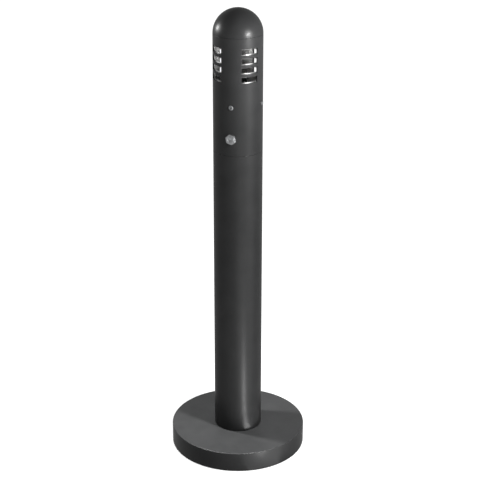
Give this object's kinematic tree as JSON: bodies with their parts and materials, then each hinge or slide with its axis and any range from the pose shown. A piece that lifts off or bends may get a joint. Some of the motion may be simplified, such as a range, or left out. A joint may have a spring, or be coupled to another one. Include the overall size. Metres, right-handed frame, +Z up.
{
  "type": "ashtray bin",
  "caption": "Round free-standing ashtray bin: slim post on a heavy disc base, with a domed lift-off head that has stub slots, a cam lock and an inner butt liner.",
  "frame": {"origin": "on the floor, under the centre of the base", "axes": "+Z up along the post; slot groups face +X, -X, +Y and -Y; the lock faces the diagonal between -X and -Y"},
  "size_m": [0.302, 0.302, 1.012],
  "materials": {
    "powder_coat": "satin charcoal powder coat, very fine texture",
    "ballast_iron": "rough cast, blackened",
    "rubber_black": "matte moulded rubber",
    "stainless": "brushed stainless steel",
    "aluminium_rivet": "plain rivet aluminium",
    "lock_chrome": "bright chrome with light scratches",
    "zinc_plate": "zinc-plated steel",
    "galvanised": "galvanised sheet with a faint spangle",
    "mill_steel": "dark mill-finish steel"
  },
  "bodies": {
    "stand": {"base_cover": "powder_coat", "ballast_disc": "ballast_iron", "foot_pads": "rubber_black", "base_bolts": "zinc_plate", "base_washers": "zinc_plate", "post_foot_plate": "mill_steel", "post_tube": "powder_coat", "coupling_sleeve": "stainless"},
    "head": {"head_tube": "powder_coat", "dome_cap": "powder_coat", "stub_sleeve": "stainless", "head_rivets": "aluminium_rivet", "lock_bezel": "lock_chrome", "lock_saddle": "rubber_black", "lock_nut": "zinc_plate"},
    "lock": {"lock_plug": "lock_chrome", "lock_cam": "zinc_plate", "cam_washer": "zinc_plate", "cam_screw": "zinc_plate"},
    "liner": {"liner_tube": "galvanised", "liner_base": "galvanised", "liner_rim": "galvanised", "bail_ears": "zinc_plate", "ear_rivets": "aluminium_rivet"},
    "bail": {"bail_handle": "stainless"}
  },
  "joints": [
    {"name": "head_lift", "type": "slide", "parent": "stand", "child": "head", "axis": [0, 0, 1], "range_m": [0, 0.95]},
    {"name": "lock_turn", "type": "hinge", "parent": "head", "child": "lock", "pos_m": [-0.03748, -0.03748, 0.745], "axis": [-0.7071, -0.7071, 0], "range_deg": [0, 90]},
    {"name": "liner_lift", "type": "slide", "parent": "stand", "child": "liner", "axis": [0, 0, 1], "range_m": [0, 0.76]},
    {"name": "bail_swing", "type": "hinge", "parent": "liner", "child": "bail", "pos_m": [0, 0, 0.6923], "axis": [1, 0, 0], "range_deg": [0, 90]}
  ],
  "couplings": [
    {"joint": "liner_lift", "follows": "head_lift", "ratio": 0.8}
  ]
}
